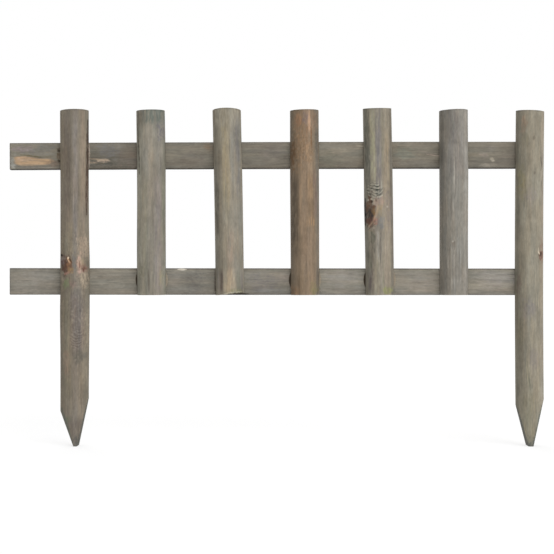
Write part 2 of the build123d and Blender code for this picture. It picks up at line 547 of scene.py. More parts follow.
def checks(x, y, seed):
    """Drying checks in a sawn end: a few cracks that open from the heart outwards."""
    random = np.random.default_rng(seed)
    mask = np.zeros(len(x))
    for angle in np.linspace(-2.8, -0.3, CRACKS) + random.uniform(-0.25, 0.25, CRACKS):
        out = x * math.cos(angle) + (y - POLE_CENTRE_Y) * math.sin(angle)
        off = -x * math.sin(angle) + (y - POLE_CENTRE_Y) * math.cos(angle) + noise(out / 4, angle, seed) - 0.5
        reach = smooth(random.uniform(3, 14), 24, out)
        mask = np.maximum(mask, reach * np.exp(-(off / 0.9) ** 2))
    return 0.75 * mask


# How far a place on a point's sawn side slants to the back, as a share of how far the saw moves it
POINT_SLANT = 0.1


def cut_to_point(outline, z, point):
    """The half-round outline at a height, cut to a stake's point, and how far each place is on a sawn side.

    Places on the flat back stay evenly spread between the two sides, and a place that the saw moves
    slants to the back, so that no two places meet.
    """
    x, y = outline.T.copy()
    tip_width, tip_shift, left_cut, right_cut = point
    facet = np.zeros(len(x))
    for side, (slope, turn) in ((-1, left_cut), (1, right_cut)):
        corner = tip_shift + side * tip_width / 2
        spread = side * math.tan(math.radians(slope)) * z
        twist = side * math.tan(math.radians(turn))
        beyond = side * (x - corner - spread - twist * (y - BACK_Y))
        facet = np.maximum(facet, smooth(-0.6, 0.4, beyond))
        y = y + POINT_SLANT * np.maximum(beyond, 0) * (BACK_Y - y) / (2 * BACK_Y)
        x = np.where(beyond > 0, corner + spread + twist * (y - BACK_Y), x)
    flat = y > BACK_Y - 0.01
    x[flat] = np.linspace(x[flat][0], x[flat][-1], flat.sum())
    facet[flat] = 0
    return np.column_stack([x, y]), facet


# The loops of an upright's ends, as shares of the outline about a centre, and the worn rim round each end
CAP_SCALES = (0.93, 0.84, 0.74, 0.63, 0.51, 0.38, 0.24, 0.10)
CAP_CENTRE = np.array([0.0, 3.0])
RIM = 0.8
LIP = 0.3 * RIM
RIM_SCALE = 1 - RIM / POLE_RADIUS
LIP_SCALE = 1 - LIP / POLE_RADIUS
ROW_SPACING = 1.5


def cap_ring(outline, centre, scale, level, lift=0.0):
    """An end's outline drawn in towards its centre, at the level of the cut and lifted a little."""
    ring = centre + (outline - centre) * scale
    return np.column_stack([ring, level(*ring.T) + lift])


def make_upright(spec, index):
    """A half-round upright with its sawn ends, and its point on a stake."""
    outline, front_column = section()
    stake = spec["point"] is not None
    foot_z = 0.0 if stake else LOWER_RAIL_Z
    top_z = STAKE_LENGTH + spec["extra"]
    tilt, rake, foot = (math.tan(math.radians(spec[k])) for k in ("tilt", "rake", "foot"))
    seed = 100 + index

    def top_at(x, y):
        return top_z + x * tilt - y * rake

    def foot_at(x, y):
        return foot_z + POLE_RADIUS * abs(foot) + x * foot

    foot_end, foot_sawn, foot_centre = outline, 0.0, CAP_CENTRE
    if stake:
        foot_end, foot_sawn = cut_to_point(outline, foot_z, spec["point"])
        foot_centre = CAP_CENTRE + (spec["point"][1], 0)

    # Bottom cap from the middle outwards, then the sides, then the top cap inwards
    skin = Skin()
    for scale in reversed(CAP_SCALES):
        skin.loop(cap_ring(foot_end, foot_centre, scale, foot_at), -1)
    skin.loop(cap_ring(foot_end, foot_centre, RIM_SCALE, foot_at, SINK), -1)
    skin.loop(cap_ring(foot_end, foot_centre, LIP_SCALE, foot_at, LIP), 0, foot_sawn)
    low, high = foot_at(*outline.T), top_at(*outline.T)
    for t in np.linspace(0, 1, int((top_z - foot_z) / ROW_SPACING)):
        level = low + RIM + t * (high - low - 2 * RIM)
        sides, sawn = cut_to_point(outline, level, spec["point"]) if stake else (outline, 0.0)
        skin.loop(np.column_stack([sides, level]), 0, sawn)
    skin.loop(cap_ring(outline, CAP_CENTRE, LIP_SCALE, top_at, -LIP), 0)
    skin.loop(cap_ring(outline, CAP_CENTRE, RIM_SCALE, top_at, -SINK), 1)
    for scale in CAP_SCALES:
        skin.loop(cap_ring(outline, CAP_CENTRE, scale, top_at), 1)
    foot_hub, top_hub = [*foot_centre, foot_at(*foot_centre)], [*CAP_CENTRE, top_at(*CAP_CENTRE)]
    verts, zone, facet, faces = skin.close(foot_hub, top_hub)
    front = np.concatenate([np.tile(front_column, len(skin.loops)), [0, 0]]) * (zone == 0)
    x, y, z = verts.T

    # Places on the face are as seen from in front, where the near side of a pole stands out from its middle
    seen = x + (axis_x(index) + x - CAMERA_X) * (BACK_Y - y) / CAMERA_DISTANCE
    surface = Surface(seen, z, front, seed)
    spec["look"](surface)
    surface.finish(variation=0.16, hue=0.02)
    # Sawn backs and cut faces are less greyed than the round front
    back = (1 - front) * (zone == 0)
    behind = Surface(x, z, back, seed + BACK_SEED)
    behind.sawn_back(spec["back"], foot_z, top_z)
    surface.tint = np.where(back[:, None] > 0, behind.tint, surface.tint)
    surface.flow += behind.flow
    surface.paint((zone != 0) * END_COVER, spec["ends"])
    surface.paint(checks(x, y, seed) * (zone != 0), CRACK_COLOUR)
    surface.paint(facet * CUT_COVER, spec["cuts"])
    surface.finish(variation=0.05, hue=0.03)

    # The round front is uneven, its back stays flat, and knots stand proud of their surroundings
    waviness = fbm(x / 22 + 9, z / 120, seed + 5) * 0.7 + fbm(x / 6, z / 45, seed + 6) * 0.5
    push = np.minimum(surface.swell - 0.1 - waviness * 0.35, -SINK) * front * (1 - facet)
    radial = np.stack([x, y - POLE_CENTRE_Y], 1)
    radial /= np.maximum(np.linalg.norm(radial, axis=1), 1e-6)[:, None]
    tip_fade = smooth(1, 14, z - foot_z) if stake else 1.0
    new_x = x + radial[:, 0] * push * tip_fade
    new_y = y + radial[:, 1] * np.minimum(push, -SINK * front)
    rough = fbm(x / 2.2, y / 2.2, seed + 8) - 0.5
    new_z = z + np.where(zone == 1, rough * 0.7 - 0.4, 0) + np.where(zone == -1, np.abs(rough) * 0.5, 0)

    # A slow bow along the length, and places where one side is thicker
    along = np.clip((z - foot_z) / (top_z - foot_z), 0, 1)
    new_x = new_x + spec["bow"] * np.sin(math.pi * along) * tip_fade
    for side, place, length, amount in spec["bulges"]:
        share = np.clip(side * x / POLE_RADIUS, 0, 1) * (1 - facet)
        new_x = new_x + side * amount * share * np.exp(-((z - place) / length) ** 2) * tip_fade

    # Pith line that wanders, so rings run out on the round face as long flames
    pith_x = 3.0 * (2 * noise(z / 230, 0.3, seed + 21) - 1)
    pith_y = POLE_CENTRE_Y + 4.0 * (2 * noise(z / 260, 0.7, seed + 22) - 1)
    radius = np.hypot(x + surface.flow * RING_FLOW - pith_x, y - pith_y)
    ring = radius / UPRIGHT_RING + 0.8 * fbm(x / 14, z / 150, seed + 23)

    grain = np.stack([x + surface.flow, y, z], 1) * MM + np.array([0.37, 0.11, 0.83]) * (index + 1)
    edge = (np.abs(np.abs(x) - POLE_RADIUS) < 2.2) & (np.abs(y - BACK_Y) < 3.0) & (zone == 0)
    rim = smooth(4.0, 0.0, top_at(x, y) - z) * (zone == 0) * 0.6
    dirt_and_shade = np.maximum(np.where(edge, 0.35, 0.0), rim) * (0.5 + noise(x / 3, z / 12, seed + 31))

    lean = math.radians(spec["lean"])
    dz = new_z - MID_RAILS_Z
    placed = np.stack([axis_x(index) + new_x * math.cos(lean) + dz * math.sin(lean), new_y,
                       MID_RAILS_Z + dz * math.cos(lean) - new_x * math.sin(lean)], 1)
    sawn = np.maximum(back, facet)
    attributes = {"grain": grain, "ring": ring, "endgrain": zone != 0, "dirt_and_shade": dirt_and_shade, "sawn": sawn}
    place_wood(spec["name"], placed, faces, surface.tint, attributes, UPRIGHT_WOOD)


def axis_x(index, z=MID_RAILS_Z):
    """Where an upright's centre line is along the panel at a height."""
    spec = UPRIGHTS[index]
    lean = math.tan(math.radians(spec["lean"]))
    return LEFT_AXIS_X + index * PITCH + spec["shift"] + (z - MID_RAILS_Z) * lean


# The loops of a rail's ends, as shares of its outline, and the worn rim round each end
RAIL_ENDS = (0.12, 0.3, 0.5, 0.7, 0.87)
RAIL_RIM = 0.8
RAIL_ROWS = 551
# Places round a rail's section, on each kind of face and each corner
RAIL_FRONT_POINTS = 54
RAIL_BACK_POINTS = 26
RAIL_EDGE_POINTS = 8
RAIL_CORNER_POINTS = 4
# Stations by a scoop's rim, and how near a face a place on it is
SCOOP_RIM_REACH = 6.0
SCOOP_RIM_STEP = 0.5
NEAR_FACE = 0.6


def rail_outline():
    """The rail's section as a closed loop, up its back, over the top and down its front."""
    half_t, half_h = RAIL_THICKNESS / 2, RAIL_HEIGHT / 2
    inner_t, inner_h = half_t - RAIL_ARRIS, half_h - RAIL_ARRIS
    turn = np.linspace(0, math.pi / 2, RAIL_CORNER_POINTS)
    rise, run = RAIL_ARRIS * np.sin(turn), RAIL_ARRIS * np.cos(turn)
    front = np.linspace(-inner_h, inner_h, RAIL_FRONT_POINTS)[1:-1]
    back = np.linspace(inner_h, -inner_h, RAIL_BACK_POINTS)[1:-1]
    edge = np.linspace(-inner_t, inner_t, RAIL_EDGE_POINTS)[1:-1]
    return np.concatenate([
        np.column_stack([np.full_like(front, -half_t), front]),
        np.column_stack([-inner_t - run, inner_h + rise]),
        np.column_stack([edge, np.full_like(edge, half_h)]),
        np.column_stack([inner_t + rise, inner_h + run]),
        np.column_stack([np.full_like(back, half_t), back]),
        np.column_stack([inner_t + run, -inner_h - rise]),
        np.column_stack([-edge, np.full_like(edge, -half_h)]),
        np.column_stack([-inner_t - rise, -inner_h - run]),
    ])[::-1]


def make_rail(name, bottom_z, rise, bow, look, ends, back, scoops, nails, seed):
    """A flat sawn rail with eased edges and its round scoops.

    Its right end is up by the rise in degrees, and its middle by the bow in millimetres.
    """
    half_t, half_h = RAIL_THICKNESS / 2, RAIL_HEIGHT / 2
    outline = rail_outline()
    inset = outline * np.array([1 - RAIL_RIM / half_t, 1 - RAIL_RIM / half_h])
    # Stations along the rail, close together at the sides of each scoop
    stations = [np.linspace(RAIL_RIM, RAIL_LENGTH - RAIL_RIM, RAIL_ROWS)]
    for at in scoops:
        for side in (-1, 1):
            rim = at + side * SCOOP_RADIUS - RAIL_START_X
            stations.append(np.arange(rim - SCOOP_RIM_REACH, rim + SCOOP_RIM_REACH, SCOOP_RIM_STEP))
    skin = Skin()

    def loop(s, points, zone):
        skin.loop(np.column_stack([np.full(len(points), s), points]), zone)

    for scale in RAIL_ENDS:
        loop(0.0, outline * scale, -1)
    loop(SINK, inset, -1)
    for s in np.unique(np.concatenate(stations)):
        loop(s, outline, 0)
    loop(RAIL_LENGTH - SINK, inset, 1)
    for scale in reversed(RAIL_ENDS):
        loop(RAIL_LENGTH, outline * scale, 1)
    verts, zone, _, faces = skin.close([0, 0, 0], [RAIL_LENGTH, 0, 0])
    s, y, h = verts.T
    x = s + RAIL_START_X
    side = zone == 0
    front = ((y < -half_t + NEAR_FACE) & side).astype(float)
    rear = (y > half_t - NEAR_FACE) & side
    top, bottom = (h > half_h - NEAR_FACE) & side, (h < -half_h + NEAR_FACE) & side

    # The face's look runs over its top corner and under the bottom edge, and fades into the sawn back's
    back_share = smooth(0, 4.5, y - np.where(h > 0, -half_t + RAIL_ARRIS, 2)) * side
    face = side - back_share
    surface = Surface(h, x, face, seed)
    look(surface)
    surface.finish(variation=0.17, hue=0.02)
    for at in scoops:
        surface.scoop(at, SCOOP_LIFT)
    behind = Surface(h, x, back_share, seed + BACK_SEED)
    behind.sawn_back(back, RAIL_START_X, RAIL_START_X + RAIL_LENGTH)
    for nail_x, nail_h in nails:
        behind.patch(nail_h - 3, nail_x, 16, 9, IRON_STAIN, 0.7, 0.6, seed=int(nail_x))
    surface.tint += (behind.tint - surface.tint) * back_share[:, None]
    surface.flow += behind.flow
    surface.paint(~side * END_COVER, ends)
    surface.finish(variation=0.05, hue=0.03)

    # The scoops, and the sawn faces' slight unevenness
    dip = np.zeros(len(x))
    for at in scoops:
        r = np.hypot(x - at, h - SCOOP_LIFT) / SCOOP_RADIUS
        dip = np.maximum(dip, SCOOP_DEPTH * (1 - r ** 2))
    uneven = fbm(h / 7, x / 90, seed + 5) * 0.35 + fbm(h / 2.5, x / 40, seed + 6) * 0.2
    new_y = np.maximum(y, np.where(side, -half_t + dip, -half_t))
    new_y = new_y + np.where(front > 0, uneven * 0.35, 0) - np.where(rear, uneven, 0)
    edge = fbm(y / 5, x / 55, seed + 7) * 0.3
    new_h = h - np.where(top, edge, 0) + np.where(bottom, edge, 0)
    new_h = new_h + bow * np.sin(math.pi * s / RAIL_LENGTH)
    rough = fbm(h / 2.2, y / 2.2, seed + 8)
    new_x = x + np.where(zone == -1, rough * 0.3, 0) - np.where(zone == 1, rough * 0.3, 0)

    # The pith lies behind the rail, so rings run along its face as long flames
    pith_h = -8 + 10 * (2 * noise(x / 420, 0.2, seed + 21) - 1)
    pith_y = 46 + 10 * (2 * noise(x / 500, 0.6, seed + 22) - 1)
    radius = np.hypot(h + surface.flow * RING_FLOW - pith_h, y - pith_y)
    ring = radius / RAIL_RING + 0.9 * fbm(h / 11, x / 160, seed + 23)
    grain = np.stack([h + surface.flow, y, x], 1) * MM + np.array([1.7, 2.3, 0.9]) * (seed % 7 + 1)
    # Painted shade along both bottom edges, and darker along the front top corner than the top's back corner
    dirt_and_shade = smooth(2.6, 0.4, half_h - np.abs(h)) * np.where(h < 0, 0.9, 0.2 + 0.7 * face) * side
    dirt_and_shade = dirt_and_shade * (0.5 + noise(x / 14, h, seed + 31))
    middle_x = RAIL_START_X + RAIL_LENGTH / 2
    up, reach = math.radians(rise), new_x - middle_x
    placed = np.stack([middle_x + reach * math.cos(up) - new_h * math.sin(up), BACK_Y + half_t + new_y,
                       bottom_z + half_h + new_h * math.cos(up) + reach * math.sin(up)], 1)
    attributes = {"grain": grain, "ring": ring, "endgrain": ~side, "dirt_and_shade": dirt_and_shade, "sawn": back_share}
    place_wood(name, placed, faces, surface.tint, attributes, RAIL_WOOD)


# How each piece is coloured, from left to right and then the rails: its weathering, and on some edges and
# gaps painted light and shade
# Places are across the face and along the grain in millimetres, and colours as they look from 0 to 255


def look_left_stake(s):
    s.cover((123, 115, 101))
    s.band(-16, 18, (114, 105, 94), 0.5)
    s.band(2, 14, (132, 124, 115), 0.6)
    s.band(16, 10, (136, 124, 110), 0.5)
    s.stripe(-16, 14, 480, 690, (110, 100, 91), 0.5, seed=1)
    s.stripe(1, 10, 430, 680, (136, 128, 121), 0.6, seed=2)
    s.stripe(19, 8, 440, 690, (138, 126, 112), 0.6, seed=3)
    s.stripe(20.5, 4, 500, 640, (148, 134, 117), 0.6, seed=4)
    # A split along the right edge
    s.seam(((28.2, 680), (27.6, 640), (26.8, 590)), 5.5, (66, 55, 47), 0.95, seed=5)
    s.seam(((27.2, 620), (26.2, 560), (25, 510), (24.6, 482)), 5.0, (76, 61, 52), 0.9, seed=41)
    # Two torn knots with bare, pinkish wood about them
    s.specks(390, 440, 0.8)
    s.patch(-14, 424, 24, 70, (127, 119, 102), 0.6, seed=36)
    s.patch(17, 412, 19, 52, (157, 142, 125), 0.8, seed=9)
    s.patch(-2, 378, 9, 44, (120, 116, 111), 0.7, seed=10)
    s.knot(-16.5, 377, 26, 37, (84, 64, 54), 1.0, seed=11)
    s.patch(-25, 386, 8, 18, (114, 103, 102), 0.7, seed=12)
    s.patch(-11, 373, 13, 22, (126, 95, 72), 0.8, seed=13)
    s.patch(-8.5, 365, 10, 12, (140, 119, 91), 0.8, seed=14)
    s.seam(((-16, 391), (-9, 380)), 2.4, (190, 158, 128), 0.9, seed=15)
    s.seam(((-12.5, 392), (-6.5, 382)), 2.2, (66, 50, 34), 0.85, seed=16)
    s.dot(-13.3, 391.5, 3.8, (226, 208, 182))
    s.dot(-27.4, 397, 5, (28, 23, 19), 0.95)
    s.seam(((-21.5, 357), (-16.5, 359.5), (-11, 362)), 5.5, (154, 121, 108), 0.65, seed=17)
    s.patch(9, 379, 9, 34, (180, 153, 137), 0.8, 0.7, seed=18)
    s.seam(((9, 384), (9.5, 370)), 2.2, (116, 83, 70), 0.85, seed=19)
    s.patch(15, 383, 10, 14, (150, 136, 112), 0.7, seed=20)
    s.patch(17, 369, 17, 18, (136, 110, 96), 0.75, seed=35)
    s.knot(18, 368, 9, 12, (104, 74, 64), 0.85, seed=21)
    s.patch(11, 363, 9, 6, (176, 150, 138), 0.8, seed=22)
    s.patch(19, 345, 17, 34, (162, 148, 129), 0.9, seed=23)
    s.specks(325, 360, 0.8)
    s.patch(-18, 338, 11, 19, (119, 126, 97), 0.95, 0.4, seed=24, flecks=0.2)
    s.patch(-5, 335, 12, 16, (136, 117, 107), 0.6, seed=25)
    s.patch(5, 320, 13, 16, (98, 97, 88), 0.6, seed=26)
    # Darker below, with buckled fibres above a small branch
    s.patch(-3, 304, 16, 40, (116, 108, 103), 0.6, seed=34)
    s.stripe(6, 17, 190, 320, (110, 104, 99), 0.7, seed=27)
    s.patch(3, 252, 26, 120, (106, 97, 90), 0.65, 0.8, seed=40, flecks=0.7)
    s.specks(200, 320, 0.5)
    s.ripples(3, 223, 32, 54, 5.8, (136, 127, 117), (94, 86, 80), 0.42)
    s.patch(8, 187, 34, 26, (99, 95, 86), 0.75, 0.7, seed=28)
    s.stripe(-17, 16, 100, 330, (125, 117, 100), 0.7, seed=29)
    s.patch(-18, 174, 14, 44, (134, 118, 102), 0.7, seed=30)
    s.patch(19, 150, 12, 60, (136, 125, 107), 0.6, seed=31)
    s.patch(-14, 56, 9, 14, (104, 110, 88), 0.6, seed=32)
    s.stripe(2, 34, -20, 60, (110, 102, 94), 0.6, seed=33)
    # Dark along the edges of the point and at its tip
    s.seam(((-28, 78), (-17, 46), (-6, 8)), 5.5, (94, 99, 90), 0.75, seed=37)
    s.seam(((27.5, 95), (18, 50), (10, 8)), 3.5, (100, 95, 87), 0.6, seed=38)
    s.patch(2, 0, 40, 34, (84, 85, 81), 0.8, 0.9, seed=39)


def look_picket_1(s):
    s.cover((135, 130, 118))
    # Painted light: the left side, which is turned from the light, is painted lighter
    s.band(-25, 12, (146, 143, 129), 0.7)
    s.band(-15, 10, (147, 142, 129), 0.6)
    s.band(-3, 14, (135, 129, 118), 0.6)
    s.band(16, 14, (131, 126, 118), 0.5)
    s.band(27, 6, (118, 118, 106), 0.5)
    s.stripe(-22, 16, 664, 710, (112, 105, 92), 0.6, seed=12)
    s.stripe(8, 46, 672, 710, (103, 107, 99), 0.95, 0.3, seed=2)
    s.patch(23, 654, 17, 38, (108, 105, 105), 0.85, seed=4)
    s.seam(((-27.5, 672), (-26.5, 640), (-25, 595), (-25, 565)), 3.0, (82, 77, 66), 0.7, seed=3)
    s.stripe(-2, 20, 480, 660, (143, 136, 123), 0.5, seed=1)
    s.stripe(13, 16, 318, 560, (134, 126, 121), 0.6, seed=5)
    s.stripe(-13, 10, 314, 560, (133, 130, 114), 0.5, seed=6)
    s.stripe(24, 7, 430, 560, (119, 120, 104), 0.5, seed=7)
    s.stripe(-6, 4, 328, 366, (112, 104, 92), 0.6, seed=9)
    s.patch(20, 352, 11, 34, (139, 135, 112), 0.6, seed=11)
    s.patch(-22, 360, 10, 26, (110, 109, 92), 0.5, seed=10)


def look_picket_2(s):
    s.cover((141, 134, 120))
    # Darker down the left side: partly the wood, partly painted shade on the side turned from the light
    s.band(-26, 9, (108, 104, 93), 0.5)
    s.band(-17, 9, (120, 113, 98), 0.5)
    s.band(-4, 16, (147, 138, 120), 0.6)
    s.band(14, 16, (132, 127, 116), 0.6)
    s.band(25, 9, (121, 120, 112), 0.5)
    s.stripe(-5, 15, 500, 690, (153, 142, 118), 0.7, seed=4)
    s.stripe(11, 9, 540, 700, (138, 134, 125), 0.6, seed=1)
    s.stripe(0, 56, 666, 716, (156, 149, 133), 0.55, 0.3, seed=14)
    s.stripe(21, 9, 520, 680, (122, 120, 118), 0.6, seed=2)
    s.stripe(-24, 8, 440, 540, (86, 82, 72), 0.5, seed=3)
    s.stripe(2, 13, 330, 450, (152, 137, 122), 0.6, seed=5)
    s.stripe(-1, 22, 320, 366, (164, 149, 127), 0.8, seed=6)
    s.stripe(-17.5, 6, 320, 364, (98, 88, 81), 0.75, seed=7)
    s.stripe(-24, 5, 316, 366, (136, 128, 119), 0.7, seed=8)
    s.stripe(18, 9, 316, 364, (120, 117, 104), 0.7, seed=11)
    s.stripe(25.5, 5, 314, 364, (122, 117, 111), 0.8, seed=12)
    s.patch(14, 322, 34, 9, (130, 126, 99), 0.6, seed=9)
    s.seam(((-12, 317.6), (24, 320.4)), 2.6, (172, 167, 148), 0.75, seed=10)
    # Painted shadow along the raised foot's bottom edge
    s.seam(((-4, 316.2), (12, 317.1), (29, 318)), 3.0, (54, 48, 40), 0.95, seed=13)


def look_picket_3(s):
    s.cover((129, 114, 95))
    # Darker down the left side: partly the wood, partly painted shade on the side turned from the light
    s.band(-27, 9, (102, 94, 82), 0.55)
    s.band(-14, 14, (109, 95, 79), 0.6)
    s.band(4, 20, (140, 121, 102), 0.7)
    s.band(26, 9, (110, 105, 96), 0.8)
    s.patch(-10, 640, 26, 110, (135, 111, 86), 0.6, seed=2)
    s.patch(-13, 676, 16, 26, (143, 113, 88), 0.7, seed=1)
    s.patch(3, 684, 14, 26, (117, 103, 97), 0.7, seed=3)
    s.stripe(11.5, 5, 655, 696, (176, 146, 121), 0.8, seed=4)
    s.patch(19, 676, 12, 46, (143, 118, 97), 0.6, seed=5)
    s.stripe(6, 3, 620, 660, (112, 84, 58), 0.6, seed=6)
    s.stripe(14, 3, 612, 664, (120, 88, 60), 0.6, seed=17)
    s.patch(10, 606, 14, 44, (154, 127, 99), 0.6, seed=8)
    s.specks(585, 670, 0.55)
    s.patch(-24, 604, 11, 56, (106, 83, 60), 0.7, seed=18)
    s.stripe(3, 24, 450, 590, (143, 122, 100), 0.6, seed=9)
    s.stripe(12, 12, 470, 570, (140, 117, 91), 0.5, seed=10)
    s.stripe(22, 8, 480, 570, (116, 99, 90), 0.6, seed=11)
    for at in (5, 9.5, 14, 19):
        s.stripe(at, 2.2, 458, 476, (160, 132, 102), 0.7, 0.5, seed=int(at) + 30, wander=0.4)
    # Painted shade down the left side
    s.stripe(-20, 16, 400, 560, (84, 74, 63), 0.5, seed=12)
    s.stripe(8, 30, 330, 450, (134, 117, 99), 0.6, seed=13)
    s.patch(-8, 345, 26, 56, (128, 111, 90), 0.5, seed=14)
    s.stripe(-23, 14, 308, 368, (122, 108, 91), 0.85, seed=19)
    s.patch(-20, 322, 18, 20, (128, 104, 82), 0.6, seed=15)
    s.patch(20, 326, 16, 26, (124, 118, 86), 0.7, seed=16)


def look_picket_4(s):
    s.cover((140, 133, 120))
    # Darker down the left side: partly the wood, partly painted shade on the side turned from the light
    s.band(-25, 12, (112, 110, 100), 0.6)
    s.band(-15, 7, (126, 119, 107), 0.5)
    s.band(18, 12, (145, 134, 117), 0.6)
    s.band(27, 6, (108, 103, 93), 0.8)
    s.stripe(-10, 10.5, 560, 704, (158, 153, 129), 0.95, 0.35, seed=1)
    s.stripe(2, 12, 500, 710, (126, 121, 117), 0.8, seed=2)
    s.stripe(10, 4, 570, 704, (140, 134, 115), 0.6, seed=21)
    s.stripe(19, 10, 440, 680, (152, 139, 118), 0.6, seed=3)
    s.stripe(-22, 11, 545, 704, (92, 92, 81), 0.55, 0.3, seed=4)
    s.stripe(4, 44, 666, 716, (154, 148, 133), 0.45, 0.3, seed=42)
    # A branch stub: buckled fibres above it, a dark heart at the edge and a thin bare lip on its right
    for at in (0.5, 7):
        s.stripe(at, 2.4, 528, 552, (158, 155, 143), 0.8, seed=int(at) + 22, wander=0.5)
    s.ripples(-9, 530, 34, 46, 6.3, (164, 160, 146), (64, 66, 58), 0.8)
    s.seam(((-7, 532), (-2, 530), (2, 529.5), (6, 532), (10, 537)), 2.4, (84, 85, 77), 0.6, seed=70)
    s.seam(((-7, 528.5), (-2, 526.4), (2, 526), (6, 528.5), (10.3, 533)), 2.6, (158, 155, 142), 0.7, seed=71)
    s.seam(((-7, 525), (-2, 522.9), (2, 522.4), (6, 524.6), (10.3, 529)), 2.4, (80, 82, 74), 0.7, seed=72)
    s.seam(((-8, 521.5), (-2, 518.6), (2, 518.1), (6, 519.3), (10.3, 522.5)), 3.0, (174, 169, 154), 0.85,
           seed=73)
    s.patch(2, 505, 22, 26, (158, 140, 126), 0.85, seed=30)
    s.patch(21, 492, 15, 80, (136, 126, 117), 0.7, seed=31)
    s.knot(-19, 489, 26, 56, (98, 77, 63), 1.0, seed=5)
    s.patch(-20, 482, 15, 32, (62, 57, 54), 0.85, seed=6)
    s.patch(-10, 487, 8, 14, (118, 96, 69), 0.8, seed=7)
    s.patch(-18, 467, 15, 16, (92, 68, 60), 0.85, seed=8)
    s.seam(((-27.5, 516), (-28.5, 484), (-27.5, 460)), 4.5, (52, 48, 45), 0.8, seed=9)
    s.dot(-28.6, 482, 6, (18, 15, 13), 0.95)
    s.pit(-29, 482, 9, 12, 1.8)
    s.dot(-21, 512, 3.6, (176, 168, 152))
    s.dot(-14.5, 514, 4.4, (178, 168, 150))
    s.dot(-14, 508.5, 5.5, (62, 51, 43), 0.85)
    s.patch(1, 488, 14, 30, (149, 136, 114), 0.7, seed=32)
    s.seam(((-1, 499), (-3.5, 488), (-6.5, 478), (-11, 469), (-20, 457)), 4.6, (173, 149, 125), 0.75,
           seed=10)
    s.patch(-6, 470, 10, 15, (160, 122, 106), 0.75, seed=11)
    s.patch(4, 466, 13, 28, (124, 124, 123), 0.7, seed=12)
    s.dot(4, 493, 6, (138, 125, 96), 0.7)
    s.dot(18.5, 497.5, 4.4, (178, 168, 153), 0.85)
    s.seam(((-7, 462), (-14, 457), (-22, 451)), 2.2, (96, 78, 64), 0.7, seed=13)
    s.seam(((-22, 450.5), (-16, 447.5), (-10, 446)), 2.6, (144, 129, 105), 0.5, seed=33)
    s.dot(-10.7, 453.8, 4, (168, 158, 142), 0.7)
    # Grey-green streaks below
    s.patch(-14, 430, 11, 30, (98, 99, 86), 0.7, seed=14)
    s.stripe(-19.5, 7, 366, 400, (90, 94, 79), 0.7, seed=15)
    s.stripe(-12.5, 9, 386, 440, (106, 101, 90), 0.7, seed=40)
    s.stripe(-3.5, 6.5, 386, 448, (163, 156, 145), 0.85, 0.4, seed=16, wander=0.8)
    s.stripe(-6, 12, 318, 392, (150, 142, 123), 0.6, seed=41)
    s.stripe(3.5, 5, 396, 450, (114, 108, 101), 0.65, seed=17)
    s.stripe(8.5, 4, 334, 392, (120, 119, 99), 0.65, seed=18)
    s.stripe(14, 12, 314, 450, (147, 136, 121), 0.6, seed=19)
    s.stripe(-18, 10, 324, 364, (98, 88, 84), 0.65, seed=20)
    s.stripe(-26.5, 4, 318, 366, (128, 122, 110), 0.7, seed=24, wander=0.5)
    s.patch(17, 324, 20, 16, (138, 140, 95), 0.7, seed=23)


def look_picket_5(s):
    s.cover((134, 130, 121))
    # Darker down the left side: partly the wood, partly painted shade on the side turned from the light
    s.band(-24, 11, (102, 99, 92), 0.6)
    s.band(-10, 12, (129, 125, 116), 0.5)
    s.band(10, 14, (132, 128, 120), 0.5)
    # Paler down the right edge: partly the wood, partly painted light on the side facing the light
    s.band(25, 9, (158, 153, 145), 0.65)
    s.stripe(4, 34, 560, 704, (131, 126, 121), 0.5, seed=1)
    s.stripe(1.3, 2.6, 530, 594, (164, 159, 149), 0.9, 0.5, seed=2, wander=0.6)
    s.stripe(-1, 2.4, 470, 512, (158, 153, 144), 0.7, 0.5, seed=3, wander=0.6)
    s.stripe(4.5, 2.6, 470, 590, (114, 110, 104), 0.6, seed=4)
    s.stripe(-4.5, 2.6, 480, 600, (116, 112, 105), 0.5, seed=5)
    s.patch(2, 632, 14, 9, (112, 108, 102), 0.6, seed=9)
    s.knot(-1, 423, 8, 12, (112, 105, 95), 0.7, seed=6)
    s.dot(-2, 425.5, 4.4, (172, 168, 158), 0.7)
    s.seam(((2.5, 424), (1.5, 408)), 2.2, (102, 96, 88), 0.7, seed=7)
    for at in (-12, -5, 1, 8, 14):
        s.stripe(at, 2.4, 322, 420, (152, 148, 140), 0.55, seed=at + 30)
    for at in (-16, -8.5, -2, 4.5, 11):
        s.stripe(at, 2.2, 322, 420, (116, 112, 105), 0.5, seed=int(at) + 50)


